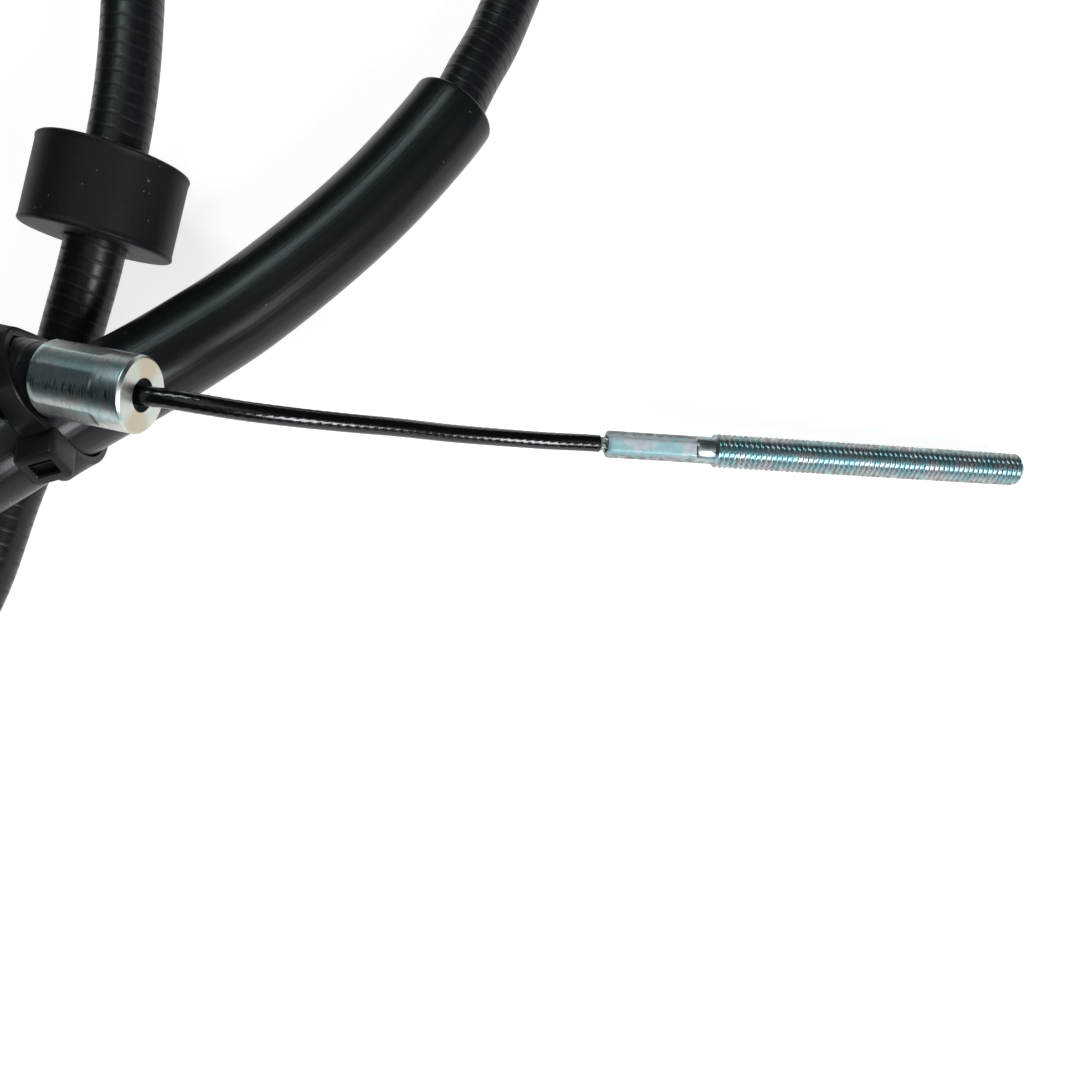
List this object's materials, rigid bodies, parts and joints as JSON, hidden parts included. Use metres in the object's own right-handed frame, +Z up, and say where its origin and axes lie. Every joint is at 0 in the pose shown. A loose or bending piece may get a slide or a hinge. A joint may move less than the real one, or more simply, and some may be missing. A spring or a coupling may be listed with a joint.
{
  "type": "parking brake cable",
  "caption": "Coiled parking brake cable: threaded rod and coated inner cable out of a ferrule, with rubber bush, protective sleeve and cable tie.",
  "frame": {"origin": "middle of the box round the coiled cable, on the surface that it lies on", "axes": "+Z up from the surface, +X along the threaded rod towards its free end, +Y across the coil"},
  "size_m": [0.3054, 0.2436, 0.0434],
  "materials": {
    "zinc_plated_steel": "blue-passivated zinc, bright and turned",
    "wire_steel": "bare stranded wire",
    "jacket_plastic": "semi-gloss black plastic over wound wire",
    "liner_plastic": "smooth natural plastic",
    "cable_coat": "glossy black coat that shows the strands",
    "sleeve_rubber": "smooth satin black",
    "bush_rubber": "moulded satin black rubber with dust",
    "tie_nylon": "black nylon"
  },
  "bodies": {
    "root": {"conduit_jacket": "jacket_plastic", "conduit_wire_coil": "wire_steel", "conduit_liner": "liner_plastic", "inner_cable": "cable_coat", "protective_sleeve": "sleeve_rubber", "rubber_bush": "bush_rubber", "front_ferrule": "zinc_plated_steel", "rear_ferrule": "zinc_plated_steel", "threaded_rod": "zinc_plated_steel", "front_rope_end": "wire_steel", "rear_end_stop": "zinc_plated_steel", "rear_rope_end": "wire_steel", "cable_tie": "tie_nylon"}
  },
  "joints": []
}
